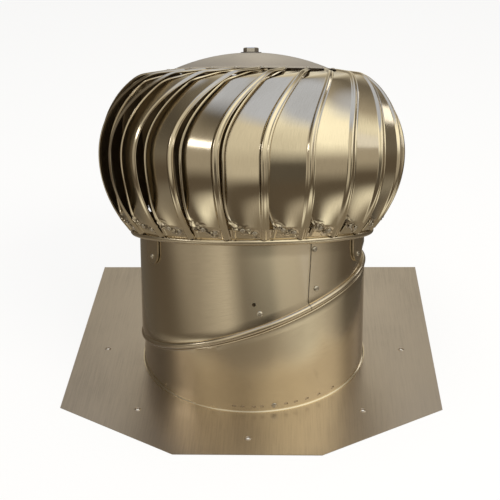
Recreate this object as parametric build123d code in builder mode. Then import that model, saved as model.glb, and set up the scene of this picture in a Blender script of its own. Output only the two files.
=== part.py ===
"""Turbine roof vent: a flashing, an adjustable two-piece collar and a spinning bladed head.

Millimetres. The origin is the centre of the throat on the flashing's underside, +Z is the flashing's
normal and -Y is the downhill side, where the flashing's corners are clipped.
"""

import os
from math import asin, atan, atan2, cos, degrees, radians, sin, sqrt, tan

from build123d import *

os.makedirs("parts", exist_ok=True)

# Sheet thicknesses
flashing_sheet = 0.8
collar_sheet = 0.8
blade_sheet = 0.6
cap_sheet = 0.8
ring_sheet = 1.0
brace_sheet = 2.0

# Clearances
lap_gap = 0.15
seat_gap = 0.3
swivel_gap = 0.5
race_gap = 0.06
shaft_gap = 0.03
hole_gap = 0.2

# Flashing
flashing_width = 500.0
flashing_rear = 245.0
flashing_front = 241.0
front_edge_width = 185.0
side_edge_front = 144.0
neck_height = 15.0
nail_count = 8
nail_circle_radius = 208.0
nail_hole_radius = 2.5

# Collar
collar_radius = 153.0
collar_cut = 21.0
swivel_at_rest = 60.0
seam_height = 95.5
lower_skirt_height = 16.0
upper_skirt_base = 70.0
collar_top = 88.0
foot_width = 3.0
slot_height = 10.0
slot_length = 5.6
slot_width = 3.4
slot_angles = (-48, -7.5, -3.5, 2, 6, 18, 23, 29, 36, 45)
lap_taper = 15.0
upper_lap_angle = 31.3
lower_lap_angle = -28.0
base_rivet_count = 3
base_rivet_angle = 12.0

# Swivel seam
flange_reach = 2.4
bead_radius = 4.0
bead_sheet = 0.8
bead_hook_angle = -80.0
seam_skirt = 8.0
lower_rib_drop = 6.2
lower_rib_width = 2.6
lower_rib_height = 1.2

# Rivets
rivet_radius = 2.2
rivet_head_radius = 3.6
rivet_head_height = 1.6
rivet_tail = 1.2
brace_rivet_length = 6.4
seam_rivet_angle = 33.0
seam_rivet_heights = (73.5, 24.0)
plain_rivet_angle = 5.6
plain_rivet_height = -4.5
punched_hole_angle = 3.0
punched_hole_height = 7.0
punched_hole_radius = 2.4

# Brace and hub
brace_count = 3
brace_angle = 65.5
brace_width = 28.0
brace_tab_bottom = 50.0
brace_tab_top = 98.0
brace_rivet_height = 60.0
brace_inner_radius = 58.0
brace_bend_radius = 6.0
brace_tab_corner = 13.7
hub_radius = 17.0
hub_bottom = 100.0
hub_top = 180.0
hub_bore_radius = 11.0
hub_flange_radius = 40.0
hub_flange_thickness = 2.5
hub_flange_bottom = 121.0

# Bearings and shaft
bearing_radius = 14.0
bearing_width = 8.0
outer_race_inner_radius = 10.2
shaft_radius = 6.0
shoulder_radius = 8.5
thread_radius = 5.0
shaft_tail = 6.0
ring_groove_depth = 0.8
retaining_ring_radius = 8.6
retaining_ring_thickness = 1.2
retaining_ring_mouth = 5.0

# Head
head_radius = 207.3
equator_height = 190.0
upper_arc_radius = 127.0
upper_arc_angle = 52.0
shoulder_arc_radius = 28.0
top_slope = 7.0
blade_top_radius = 106.0
foot_clearance = 13.5
foot_rise = 1.3
foot_length = 18.0

# Blades
blade_count = 22
blade_phase = 7.8
equator_width = 66.0
equator_tilt = 31.6
foot_blade_width = 46.2
top_width = 40.0
top_tilt = 15.0
foot_sweep = 2.0
top_sweep = 40.0
rib_width = 9.0
rib_height = 2.4
lip_width = 2.5
lower_arc_steps = 3
upper_arc_steps = 4
shoulder_steps = 2

# Ring, cap and top fasteners
ring_band = 15.0
ring_gap = 7.6
ring_overlap = 6.6
ring_hem_height = 3.0
ring_hem_thickness = 1.0
cap_radius = 120.0
dome_radius = 263.0
cap_flat_radius = 17.0
washer_radius = 14.0
seal_thickness = 1.2
shoulder_washer_thickness = 2.0
shoulder_washer_radius = 16.0
nut_flats = 18.0
nut_height = 6.2
nut_chamfer = 1.0

# Frames: the seam is a true circle in a plane cut across the collar, and turning the upper half
# about that plane's normal leans the head
cut = radians(collar_cut)
turn = radians(swivel_at_rest)
lean = 2 * asin(sin(cut) * sin(turn / 2))
seam_azimuth = radians(90) + atan2(sin(turn), cos(cut) * (1 - cos(turn)))
seam_centre = Vector(0, 0, seam_height)
seam_normal = Vector(sin(cut) * cos(seam_azimuth), sin(cut) * sin(seam_azimuth), cos(cut))
head_up = Vector(0, sin(lean), cos(lean))
across = Vector(1, 0, 0)
seam_x = (across - seam_normal * across.dot(seam_normal)).normalized()
seam_plane = Plane(origin=seam_centre, x_dir=seam_x, z_dir=seam_normal)
seam_section = Plane(origin=seam_centre, x_dir=seam_x, z_dir=seam_x.cross(seam_normal))
seam_axis = Axis(seam_centre, seam_normal)
head_plane = Plane(origin=seam_centre, x_dir=across, z_dir=head_up)
head_section = Plane(origin=seam_centre, x_dir=across, z_dir=across.cross(head_up))
head_axis = Axis(seam_centre, head_up)
base_section = Plane.XZ

seam_radius = collar_radius * (1 + 1 / cos(cut)) / 2
neck_radius = collar_radius - collar_sheet - lap_gap
blade_pitch = 360 / blade_count


def from_front(angle):
    """Polar angle of a place that lies this many degrees to the right of the front."""
    return angle - 90


def head_direction(angle, radial, around, along):
    """World direction from its radial, circumferential and axial shares at a polar angle."""
    x_share = radial * cos(radians(angle)) - around * sin(radians(angle))
    y_share = radial * sin(radians(angle)) + around * cos(radians(angle))
    return head_plane.x_dir * x_share + head_plane.y_dir * y_share + head_plane.z_dir * along


def radial_plane(plane, angle, radius, height):
    """Plane that faces outwards at a polar angle, with its own y along the given plane's normal."""
    outward = plane.x_dir * cos(radians(angle)) + plane.y_dir * sin(radians(angle))
    origin = plane.origin + outward * radius + plane.z_dir * height
    return Plane(origin=origin, x_dir=plane.z_dir.cross(outward), z_dir=outward)


# Rivets that tie the lower collar to the neck, with tails flush with the neck's bore
base_rivet_reach = flashing_sheet + collar_sheet + 2 * lap_gap
base_rivet_planes = [
    radial_plane(
        Plane.XY,
        from_front(base_rivet_angle) + index * 360 / base_rivet_count,
        collar_radius + lap_gap,
        slot_height,
    )
    for index in range(base_rivet_count)
]
with BuildPart() as base_rivets:
    with Locations(*base_rivet_planes):
        Cone(
            rivet_head_radius,
            rivet_radius,
            rivet_head_height,
            align=(Align.CENTER, Align.CENTER, Align.MIN),
        )
        Cylinder(rivet_radius, base_rivet_reach, align=(Align.CENTER, Align.CENTER, Align.MAX))
base_rivets.part.label = "base_rivets"
export_step(base_rivets.part, "parts/base_rivets.step")

# Flashing with its upturned neck
with BuildPart() as base_flashing:
    with BuildSketch():
        with BuildLine():
            Polyline(
                (-flashing_width / 2, flashing_rear),
                (-flashing_width / 2, -side_edge_front),
                (-front_edge_width / 2, -flashing_front),
                (front_edge_width / 2, -flashing_front),
                (flashing_width / 2, -side_edge_front),
                (flashing_width / 2, flashing_rear),
                close=True,
            )
        make_face()
        with PolarLocations(nail_circle_radius, nail_count):
            Circle(nail_hole_radius, mode=Mode.SUBTRACT)
    extrude(amount=flashing_sheet)
    with BuildSketch():
        Circle(neck_radius)
    extrude(amount=neck_height)
    with BuildSketch():
        Circle(neck_radius - flashing_sheet)
    extrude(amount=neck_height, mode=Mode.SUBTRACT)
    with BuildSketch(*base_rivet_planes):
        Circle(rivet_radius + lap_gap)
    extrude(amount=-2 * base_rivet_reach, mode=Mode.SUBTRACT)
base_flashing.part.label = "base_flashing"
export_step(base_flashing.part, "parts/base_flashing.step")

# Lap of the lower collar: the sheet's outer end stands one thickness proud and fades into the round
lap_shift = collar_sheet / sin(radians(lap_taper))
skirt_base = flashing_sheet
skirt_top = skirt_base + lower_skirt_height


def lap_offset(angle):
    """Shift of a circle that stands proud by one sheet at the lap's edge and by none past its taper."""
    away = radians(from_front(angle) + lap_taper - 90)
    return lap_shift * cos(away), lap_shift * sin(away)


def lap_wedge(angle, reach):
    """Corners of the sector that holds a lap, from its edge to the end of its taper."""
    first = radians(from_front(angle))
    last = radians(from_front(angle) + lap_taper)
    return (0, 0), (reach * cos(first), reach * sin(first)), (reach * cos(last), reach * sin(last))


with BuildPart() as lower_lap:
    with BuildSketch(Plane.XY.offset(skirt_base)):
        with Locations(lap_offset(lower_lap_angle)):
            Circle(collar_radius)
    extrude(amount=lower_skirt_height)
    with BuildSketch(Plane.XY.offset(skirt_top)):
        with Locations(lap_offset(lower_lap_angle)):
            Circle(collar_radius)
    with BuildSketch(seam_plane.offset(-seam_skirt)):
        with Locations(lap_offset(lower_lap_angle)):
            Circle(seam_radius)
    loft(ruled=True)
    with BuildSketch():
        with BuildLine():
            Polyline(*lap_wedge(lower_lap_angle, 2 * collar_radius), close=True)
        make_face()
    extrude(amount=2 * seam_height, mode=Mode.INTERSECT)

with BuildPart() as lower_collar:
    with BuildSketch(Plane.XY.offset(skirt_base)):
        Circle(collar_radius)
    extrude(amount=lower_skirt_height)
    with BuildSketch(Plane.XY.offset(skirt_top)):
        Circle(collar_radius)
    with BuildSketch(seam_plane.offset(-seam_skirt)):
        Circle(seam_radius)
    loft(ruled=True)
    add(lower_lap.part)
    with BuildSketch(Plane.XY.offset(skirt_base)):
        Circle(collar_radius - collar_sheet)
    extrude(amount=lower_skirt_height, mode=Mode.SUBTRACT)
    with BuildSketch(Plane.XY.offset(skirt_top)):
        Circle(collar_radius - collar_sheet)
    with BuildSketch(seam_plane.offset(-seam_skirt)):
        Circle(seam_radius - collar_sheet)
    loft(ruled=True, mode=Mode.SUBTRACT)
    # Foot flange that lies on the flashing
    with BuildSketch(base_section):
        with BuildLine():
            Polyline(
                (collar_radius - collar_sheet, skirt_base),
                (collar_radius + foot_width, skirt_base),
                (collar_radius + foot_width, skirt_base + collar_sheet),
                (collar_radius + collar_sheet, skirt_base + collar_sheet),
                (collar_radius, skirt_base + 2 * collar_sheet),
                (collar_radius - collar_sheet, skirt_base + 2 * collar_sheet),
                close=True,
            )
        make_face()
    revolve(axis=Axis.Z)
    # Swivel edge: a stiffening rib and an outward flange
    with BuildSketch(seam_section):
        with BuildLine():
            Polyline(
                (seam_radius - collar_sheet, -seam_skirt),
                (seam_radius, -seam_skirt),
                (seam_radius, -lower_rib_drop - lower_rib_width / 2),
                (seam_radius + lower_rib_height, -lower_rib_drop - lower_rib_width / 6),
                (seam_radius + lower_rib_height, -lower_rib_drop + lower_rib_width / 6),
                (seam_radius, -lower_rib_drop + lower_rib_width / 2),
                (seam_radius, -collar_sheet),
                (seam_radius + flange_reach, -collar_sheet),
                (seam_radius + flange_reach, 0),
                (seam_radius - collar_sheet, 0),
                close=True,
            )
        make_face()
    revolve(axis=seam_axis)
    # Punched slots near the foot
    for angle in slot_angles:
        with BuildSketch(radial_plane(Plane.XY, from_front(angle), neck_radius, slot_height)):
            SlotOverall(slot_length, slot_width)
        extrude(amount=2 * foot_width, mode=Mode.SUBTRACT)
    with BuildSketch(*base_rivet_planes):
        Circle(rivet_radius + lap_gap)
    extrude(amount=-2 * base_rivet_reach, mode=Mode.SUBTRACT)
lower_collar.part.label = "lower_collar"
export_step(lower_collar.part, "parts/lower_collar.step")

# Outer form of the upper collar: from the seam's circle to the round skirt under the head
with BuildPart() as upper_form:
    with BuildSketch(seam_plane.offset(seam_skirt)):
        Circle(seam_radius)
    with BuildSketch(head_plane.offset(upper_skirt_base)):
        Circle(collar_radius)
    loft(ruled=True)
    with BuildSketch(head_plane.offset(upper_skirt_base)):
        Circle(collar_radius)
    extrude(amount=collar_top - upper_skirt_base)


def upper_wall_radius(angle, height):
    """Radius of the upper collar's outside at a polar angle and a height along the head's axis."""
    start = seam_centre + head_up * height
    ray = Axis(start, head_direction(angle, 1, 0, 0))
    hits = [hit for face in upper_form.faces() for hit, _ in face.find_intersection_points(ray)]
    return max((hit - start).dot(ray.direction) for hit in hits)


def upper_wall_plane(angle, height, stand_off):
    """Plane on the upper collar's outside, facing outwards and set off from it."""
    return radial_plane(head_plane, angle, upper_wall_radius(angle, height) + stand_off, height)


seam_rivet_planes = [
    upper_wall_plane(from_front(seam_rivet_angle), height, collar_sheet + seat_gap)
    for height in seam_rivet_heights
]
plain_rivet_plane = upper_wall_plane(from_front(plain_rivet_angle), plain_rivet_height, seat_gap)
upper_rivet_planes = seam_rivet_planes + [plain_rivet_plane]
brace_angles = [from_front(brace_angle) + index * 360 / brace_count for index in range(brace_count)]
brace_seats = [
    max(upper_wall_radius(angle, brace_tab_bottom), collar_radius) + seat_gap for angle in brace_angles
]
brace_rivet_planes = [
    radial_plane(head_plane, angle, seat + brace_sheet + lap_gap, brace_rivet_height)
    for angle, seat in zip(brace_angles, brace_seats)
]

with BuildPart() as upper_lap:
    with BuildSketch(seam_plane.offset(seam_skirt)):
        with Locations(lap_offset(upper_lap_angle)):
            Circle(seam_radius)
    with BuildSketch(head_plane.offset(upper_skirt_base)):
        with Locations(lap_offset(upper_lap_angle)):
            Circle(collar_radius)
    loft(ruled=True)
    with BuildSketch(head_plane.offset(upper_skirt_base)):
        with Locations(lap_offset(upper_lap_angle)):
            Circle(collar_radius)
    extrude(amount=collar_top - upper_skirt_base)
    with BuildSketch(head_plane.offset(-seam_height)):
        with BuildLine():
            Polyline(*lap_wedge(upper_lap_angle, 2 * collar_radius), close=True)
        make_face()
    extrude(amount=seam_height + collar_top, mode=Mode.INTERSECT)

with BuildPart() as upper_collar:
    add(upper_form.part)
    add(upper_lap.part)
    with BuildSketch(seam_plane.offset(seam_skirt)):
        Circle(seam_radius - collar_sheet)
    with BuildSketch(head_plane.offset(upper_skirt_base)):
        Circle(collar_radius - collar_sheet)
    loft(ruled=True, mode=Mode.SUBTRACT)
    with BuildSketch(head_plane.offset(upper_skirt_base)):
        Circle(collar_radius - collar_sheet)
    extrude(amount=collar_top - upper_skirt_base, mode=Mode.SUBTRACT)
    # Rolled bead that hooks under the lower collar's flange
    bead_inner = bead_radius - bead_sheet
    bead_middle = -collar_sheet / 2
    hook = radians(bead_hook_angle)
    with BuildSketch(seam_section):
        with BuildLine():
            Polyline(
                (seam_radius, bead_middle + bead_inner),
                (seam_radius, swivel_gap),
                (seam_radius - collar_sheet, swivel_gap),
                (seam_radius - collar_sheet, seam_skirt),
                (seam_radius, seam_skirt),
                (seam_radius, bead_middle + bead_radius),
            )
            ThreePointArc(
                (seam_radius, bead_middle + bead_radius),
                (seam_radius + bead_radius, bead_middle),
                (seam_radius + bead_radius * cos(hook), bead_middle + bead_radius * sin(hook)),
            )
            Line(
                (seam_radius + bead_radius * cos(hook), bead_middle + bead_radius * sin(hook)),
                (seam_radius + bead_inner * cos(hook), bead_middle + bead_inner * sin(hook)),
            )
            ThreePointArc(
                (seam_radius + bead_inner * cos(hook), bead_middle + bead_inner * sin(hook)),
                (seam_radius + bead_inner, bead_middle),
                (seam_radius, bead_middle + bead_inner),
            )
        make_face()
    revolve(axis=seam_axis)
    # Rivet holes and one punched hole
    with BuildSketch(*upper_rivet_planes, *brace_rivet_planes):
        Circle(rivet_radius + lap_gap)
    extrude(amount=-2 * brace_rivet_length, mode=Mode.SUBTRACT)
    with BuildSketch(upper_wall_plane(from_front(punched_hole_angle), punched_hole_height, lap_gap)):
        Circle(punched_hole_radius)
    extrude(amount=-brace_rivet_length, mode=Mode.SUBTRACT)
upper_collar.part.label = "upper_collar"
export_step(upper_collar.part, "parts/upper_collar.step")

# Rivets of the upper collar and of the brace tabs
with BuildPart() as upper_rivets:
    with Locations(*upper_rivet_planes):
        Cone(
            rivet_head_radius,
            rivet_radius,
            rivet_head_height,
            align=(Align.CENTER, Align.CENTER, Align.MIN),
        )
        Cylinder(
            rivet_radius, 2 * collar_sheet + rivet_tail, align=(Align.CENTER, Align.CENTER, Align.MAX)
        )
upper_rivets.part.label = "upper_rivets"
export_step(upper_rivets.part, "parts/upper_rivets.step")

with BuildPart() as brace_rivets:
    with Locations(*brace_rivet_planes):
        Cone(
            rivet_head_radius,
            rivet_radius,
            rivet_head_height,
            align=(Align.CENTER, Align.CENTER, Align.MIN),
        )
        Cylinder(rivet_radius, brace_rivet_length, align=(Align.CENTER, Align.CENTER, Align.MAX))
brace_rivets.part.label = "brace_rivets"
export_step(brace_rivets.part, "parts/brace_rivets.step")

# Brace arms: a tab outside the collar, over its rim and in to the hub's flange
arm_height = hub_flange_bottom - lap_gap - brace_sheet / 2
arm_end = hub_radius + seat_gap
for index, (angle, seat) in enumerate(zip(brace_angles, brace_seats), start=1):
    tab_middle = seat + brace_sheet / 2
    outward = head_direction(angle, 1, 0, 0)
    arm_section = Plane(origin=seam_centre, x_dir=outward, z_dir=outward.cross(head_up))
    with BuildPart() as brace_arm:
        with BuildSketch(arm_section):
            with BuildLine():
                FilletPolyline(
                    (tab_middle, brace_tab_bottom),
                    (tab_middle, brace_tab_top),
                    (brace_inner_radius, arm_height),
                    (arm_end, arm_height),
                    radius=brace_bend_radius,
                )
            trace(line_width=brace_sheet)
        extrude(amount=brace_width / 2, both=True)
        tab_corners = brace_arm.edges().filter_by(Axis(seam_centre, outward)).sort_by(head_axis)[:2]
        fillet(tab_corners, brace_tab_corner)
        with BuildSketch(brace_rivet_planes[index - 1]):
            Circle(rivet_radius + lap_gap)
        extrude(amount=-brace_rivet_length, mode=Mode.SUBTRACT)
    brace_arm.part.label = f"brace_arm_{index}"
    export_step(brace_arm.part, f"parts/brace_arm_{index}.step")

# Hub tube with its flange, and a sealed bearing at each end
with BuildPart() as bearing_hub:
    with BuildSketch(head_section):
        with BuildLine():
            Polyline(
                (hub_bore_radius, hub_bottom + bearing_width),
                (bearing_radius + shaft_gap, hub_bottom + bearing_width),
                (bearing_radius + shaft_gap, hub_bottom),
                (hub_radius, hub_bottom),
                (hub_radius, hub_flange_bottom),
                (hub_flange_radius, hub_flange_bottom),
                (hub_flange_radius, hub_flange_bottom + hub_flange_thickness),
                (hub_radius, hub_flange_bottom + hub_flange_thickness),
                (hub_radius, hub_top),
                (bearing_radius + shaft_gap, hub_top),
                (bearing_radius + shaft_gap, hub_top - bearing_width),
                (hub_bore_radius, hub_top - bearing_width),
                close=True,
            )
        make_face()
    revolve(axis=head_axis)
bearing_hub.part.label = "bearing_hub"
export_step(bearing_hub.part, "parts/bearing_hub.step")

for name, bottom in (("lower", hub_bottom), ("upper", hub_top - bearing_width)):
    with BuildPart() as outer_race:
        with BuildSketch(head_plane.offset(bottom)):
            Circle(bearing_radius)
            Circle(outer_race_inner_radius, mode=Mode.SUBTRACT)
        extrude(amount=bearing_width)
    outer_race.part.label = f"{name}_bearing_outer"
    export_step(outer_race.part, f"parts/{name}_bearing_outer.step")
    with BuildPart() as inner_race:
        with BuildSketch(head_plane.offset(bottom)):
            Circle(outer_race_inner_radius - race_gap)
            Circle(shaft_radius + shaft_gap, mode=Mode.SUBTRACT)
        extrude(amount=bearing_width)
    inner_race.part.label = f"{name}_bearing_inner"
    export_step(inner_race.part, f"parts/{name}_bearing_inner.step")

# Head meridian: the path of the blades' outer edges, from the foot on the ring to the cap
foot_radius = collar_radius + foot_clearance
foot_height = collar_top + foot_rise
equator_reach = head_radius - foot_radius
lower_turn = 2 * atan(equator_reach / (equator_height - foot_height + foot_length))
lower_arc_radius = (equator_reach - foot_length * sin(lower_turn)) / (1 - cos(lower_turn))
foot_direction = (sin(lower_turn), cos(lower_turn))
with BuildLine() as meridian:
    foot_line = PolarLine((foot_radius, foot_height), foot_length, direction=foot_direction)
    lower_arc = JernArc(foot_line @ 1, foot_line % 1, lower_arc_radius, degrees(lower_turn))
    upper_arc = JernArc(lower_arc @ 1, lower_arc % 1, upper_arc_radius, upper_arc_angle)
    shoulder_angle = 90 - upper_arc_angle - top_slope
    shoulder = JernArc(upper_arc @ 1, upper_arc % 1, shoulder_arc_radius, shoulder_angle)
    top_run = ((shoulder @ 1).X - blade_top_radius) / cos(radians(top_slope))
    PolarLine(shoulder @ 1, top_run, direction=shoulder % 1)
path = meridian.wire()
equator_length = foot_line.length + lower_arc.length


def share_from_equator(length):
    """Share of the way from the equator to the blade's foot (below) or top (above)."""
    if length < equator_length:
        return (equator_length - length) / equator_length
    return (length - equator_length) / (path.length - equator_length)


def way_to_foot(length):
    """Share of the way down from the equator to the top of the straight foot."""
    return min(1, (equator_length - length) / (equator_length - foot_length))


def blade_width(length):
    """Width of a blade: it narrows by the square of the way to its foot or its top."""
    if length >= equator_length:
        return equator_width + (top_width - equator_width) * share_from_equator(length) ** 2
    return equator_width + (foot_blade_width - equator_width) * way_to_foot(length) ** 2


def blade_tilt(length):
    """Tilt of a blade, which eases into the straight foot and falls by the square of the way to the top."""
    if length >= equator_length:
        return equator_tilt + (top_tilt - equator_tilt) * share_from_equator(length) ** 2
    share = way_to_foot(length)
    return equator_tilt + (foot_tilt - equator_tilt) * share**2 * (3 - 2 * share)


def blade_plane(length):
    """Section plane of a blade at a length along the meridian: x runs inwards from its outer edge."""
    tilt = radians(blade_tilt(length))
    place = path @ (length / path.length)
    along = path % (length / path.length)
    sweep = foot_sweep if length < equator_length else top_sweep
    angle = from_front(blade_phase) + sweep * share_from_equator(length) ** 2
    sideways = head_direction(angle, 0, -1, 0)
    outward = head_direction(angle, along.Y, 0, -along.X)
    return Plane(
        origin=seam_centre + head_direction(angle, place.X, 0, place.Y),
        x_dir=sideways * cos(tilt) - outward * sin(tilt),
        z_dir=head_direction(angle, along.X, 0, along.Y),
    )


# The foot of each blade lies along a chord of the ring's cone
seat_radius = foot_radius / cos(lower_turn)
foot_tilt = degrees(asin(foot_blade_width / (2 * seat_radius)))
foot_crown = foot_blade_width**2 / (8 * seat_radius)
shoulder_length = equator_length + upper_arc.length
blade_lengths = [0, foot_length]
for start, arc, steps in (
    (foot_length, lower_arc, lower_arc_steps),
    (equator_length, upper_arc, upper_arc_steps),
    (shoulder_length, shoulder, shoulder_steps),
):
    blade_lengths += [start + (step + 1) / steps * arc.length for step in range(steps)]
blade_lengths += [path.length]
rib_start = lip_width
rib_end = lip_width + rib_width
rib_middle = (rib_start + rib_end) / 2

with BuildPart() as blade:
    for length in blade_lengths:
        width = blade_width(length)
        with BuildSketch(blade_plane(length)):
            with BuildLine():
                Polyline(
                    (0, 0),
                    (rib_start, 0),
                    (rib_middle, rib_height),
                    (rib_end, 0),
                    (width, 0),
                    (width, -blade_sheet),
                    (rib_end, -blade_sheet),
                    (rib_middle, rib_height - blade_sheet),
                    (rib_start, -blade_sheet),
                    (0, -blade_sheet),
                    close=True,
                )
            make_face()
    loft(ruled=True)

for index in range(blade_count):
    turned = blade.part.rotate(head_axis, index * blade_pitch)
    turned.label = f"blade_{index + 1:02d}"
    export_step(turned, f"parts/{turned.label}.step")

# Lower ring: a cone under the blades' feet, a drawn-in skirt and a hemmed lip
band_offset = blade_sheet + foot_crown + seat_gap
band_foot = Vector(foot_radius, foot_height) + Vector(-cos(lower_turn), sin(lower_turn)) * band_offset
band_top = band_foot + Vector(*foot_direction) * ring_band
skirt_edge = Vector(collar_radius + ring_gap, collar_top - ring_overlap)
with BuildPart() as lower_ring:
    with BuildSketch(head_section):
        with BuildLine():
            Polyline(skirt_edge, band_foot, band_top)
            offset(amount=ring_sheet, kind=Kind.INTERSECTION, side=Side.LEFT)
        make_face()
        with Locations(skirt_edge):
            Rectangle(ring_hem_thickness * 2, ring_hem_height, align=(Align.MAX, Align.MIN))
    revolve(axis=head_axis)
lower_ring.part.label = "lower_ring"
export_step(lower_ring.part, "parts/lower_ring.step")

# Top cap: a shallow dome with a flat middle and a sloping flange that sits on the blade ribs
rib_rise = rib_height * cos(radians(top_tilt)) - rib_middle * sin(radians(top_tilt))
slope = radians(top_slope)
cap_seat = Vector(blade_top_radius, (path @ 1).Y + (max(rib_rise, 0) + seat_gap) / cos(slope))
cap_rim = Vector(cap_radius, cap_seat.Y - (cap_radius - blade_top_radius) * tan(slope))
dome_rise = dome_radius - sqrt(dome_radius**2 - blade_top_radius**2)
dome_centre_height = cap_seat.Y + dome_rise - dome_radius
flat_height = dome_centre_height + sqrt(dome_radius**2 - cap_flat_radius**2)
dome_middle_radius = (blade_top_radius + cap_flat_radius) / 2
dome_middle_height = dome_centre_height + sqrt(dome_radius**2 - dome_middle_radius**2)
dome_middle = Vector(dome_middle_radius, dome_middle_height)
thickness_up = Vector(0, cap_sheet)
with BuildPart() as top_cap:
    with BuildSketch(head_section):
        with BuildLine():
            flat_inner = Vector(thread_radius + hole_gap, flat_height)
            flat_outer = Vector(cap_flat_radius, flat_height)
            Polyline(flat_outer, flat_inner, flat_inner + thickness_up, flat_outer + thickness_up)
            ThreePointArc(flat_outer + thickness_up, dome_middle + thickness_up, cap_seat + thickness_up)
            Polyline(cap_seat + thickness_up, cap_rim + thickness_up, cap_rim, cap_seat)
            ThreePointArc(cap_seat, dome_middle, flat_outer)
        make_face()
    revolve(axis=head_axis)
top_cap.part.label = "top_cap"
export_step(top_cap.part, "parts/top_cap.step")

# Shaft: it hangs on its shoulder on the upper bearing and carries the cap under the nut
cap_top = flat_height + cap_sheet
shoulder_top = flat_height - shoulder_washer_thickness
nut_base = cap_top + seal_thickness
shaft_bottom = hub_bottom - shaft_tail
groove_bottom = hub_bottom - lap_gap - retaining_ring_thickness - hole_gap
groove_top = hub_bottom - lap_gap
with BuildPart() as shaft:
    with BuildSketch(head_section):
        with BuildLine():
            Polyline(
                (0, shaft_bottom),
                (shaft_radius, shaft_bottom),
                (shaft_radius, groove_bottom),
                (shaft_radius - ring_groove_depth, groove_bottom),
                (shaft_radius - ring_groove_depth, groove_top),
                (shaft_radius, groove_top),
                (shaft_radius, hub_top),
                (shoulder_radius, hub_top),
                (shoulder_radius, shoulder_top),
                (thread_radius, shoulder_top),
                (thread_radius, nut_base + nut_height),
                (0, nut_base + nut_height),
                close=True,
            )
        make_face()
    revolve(axis=head_axis)
shaft.part.label = "shaft"
export_step(shaft.part, "parts/shaft.step")

with BuildPart() as retaining_ring:
    with BuildSketch(head_plane.offset(groove_bottom + hole_gap / 2)):
        Circle(retaining_ring_radius)
        Circle(shaft_radius - ring_groove_depth + shaft_gap, mode=Mode.SUBTRACT)
        with Locations((retaining_ring_radius, 0)):
            Rectangle(retaining_ring_radius * 2, retaining_ring_mouth, mode=Mode.SUBTRACT)
    extrude(amount=retaining_ring_thickness)
retaining_ring.part.label = "retaining_ring"
export_step(retaining_ring.part, "parts/retaining_ring.step")

with BuildPart() as shoulder_washer:
    with BuildSketch(head_plane.offset(shoulder_top)):
        Circle(shoulder_washer_radius)
        Circle(thread_radius + hole_gap, mode=Mode.SUBTRACT)
    extrude(amount=shoulder_washer_thickness)
shoulder_washer.part.label = "shoulder_washer"
export_step(shoulder_washer.part, "parts/shoulder_washer.step")

with BuildPart() as seal_washer:
    with BuildSketch(head_plane.offset(cap_top)):
        Circle(washer_radius)
        Circle(thread_radius + hole_gap, mode=Mode.SUBTRACT)
    extrude(amount=seal_thickness)
seal_washer.part.label = "seal_washer"
export_step(seal_washer.part, "parts/seal_washer.step")

with BuildPart() as shaft_nut:
    with BuildSketch(head_plane.offset(nut_base)):
        RegularPolygon(nut_flats / 2, 6, major_radius=False)
        Circle(thread_radius + shaft_gap, mode=Mode.SUBTRACT)
    extrude(amount=nut_height)
    nut_rim = shaft_nut.faces().sort_by(head_axis)[-1].outer_wire().edges()
    chamfer(nut_rim, nut_chamfer)
shaft_nut.part.label = "shaft_nut"
export_step(shaft_nut.part, "parts/shaft_nut.step")
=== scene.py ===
"""Looks of the turbine roof vent: smooth sheet-metal skins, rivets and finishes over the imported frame.

Sizes are millimetres until a mesh is made; Blender's objects are in metres in the frame of the solids.
"""

import logging
import math
from dataclasses import dataclass
from enum import Enum
from typing import Optional, Sequence

import bpy
import numpy as np
from mathutils import Matrix, Vector


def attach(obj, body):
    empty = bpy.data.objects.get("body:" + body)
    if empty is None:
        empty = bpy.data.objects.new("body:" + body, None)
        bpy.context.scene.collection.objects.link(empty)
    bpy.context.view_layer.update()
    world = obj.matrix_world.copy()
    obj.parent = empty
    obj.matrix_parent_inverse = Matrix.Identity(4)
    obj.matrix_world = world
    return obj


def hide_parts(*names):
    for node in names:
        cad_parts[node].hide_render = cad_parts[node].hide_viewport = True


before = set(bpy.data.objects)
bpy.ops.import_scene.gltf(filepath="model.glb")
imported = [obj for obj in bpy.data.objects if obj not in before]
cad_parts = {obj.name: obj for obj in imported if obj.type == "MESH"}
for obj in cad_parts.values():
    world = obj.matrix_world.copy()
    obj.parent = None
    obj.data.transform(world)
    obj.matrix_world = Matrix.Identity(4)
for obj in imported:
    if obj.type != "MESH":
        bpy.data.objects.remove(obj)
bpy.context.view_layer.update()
LOG = logging.getLogger("roof_vent")
MM = 0.001
UV_NAME = "sheet"
# Point attribute of painted shade and grime: how much each point of a mesh is darkened, in creases and along
# the collar's lap.
SHADE_GRIME_NAME = "shade_and_grime"
EVEN = (1.0, 1.0, 1.0)
WHITE = (1.0, 1.0, 1.0, 1.0)

Array = np.ndarray
Pair = tuple[float, float]
Triple = tuple[float, float, float]
Colour = Triple
Levels = tuple[Pair, ...]
Shape = tuple[Array, list[tuple[int, ...]]]
Seat = tuple[Array, Array]
Finish = bpy.types.Material
Piece = bpy.types.Object
Socket = bpy.types.NodeSocket


class Body(Enum):
    """The rigid bodies that pieces ride on."""

    BASE = "base"
    COLLAR = "swivel_collar"
    TURBINE = "turbine"


class Grain(Enum):
    """Where a finish takes its grain from."""

    SHEET = "the mesh's own sheet coordinates"
    PLATE = "the object's coordinates, drawn out along one of them"
    TURNED = "the object's coordinates, the same all ways"


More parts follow.
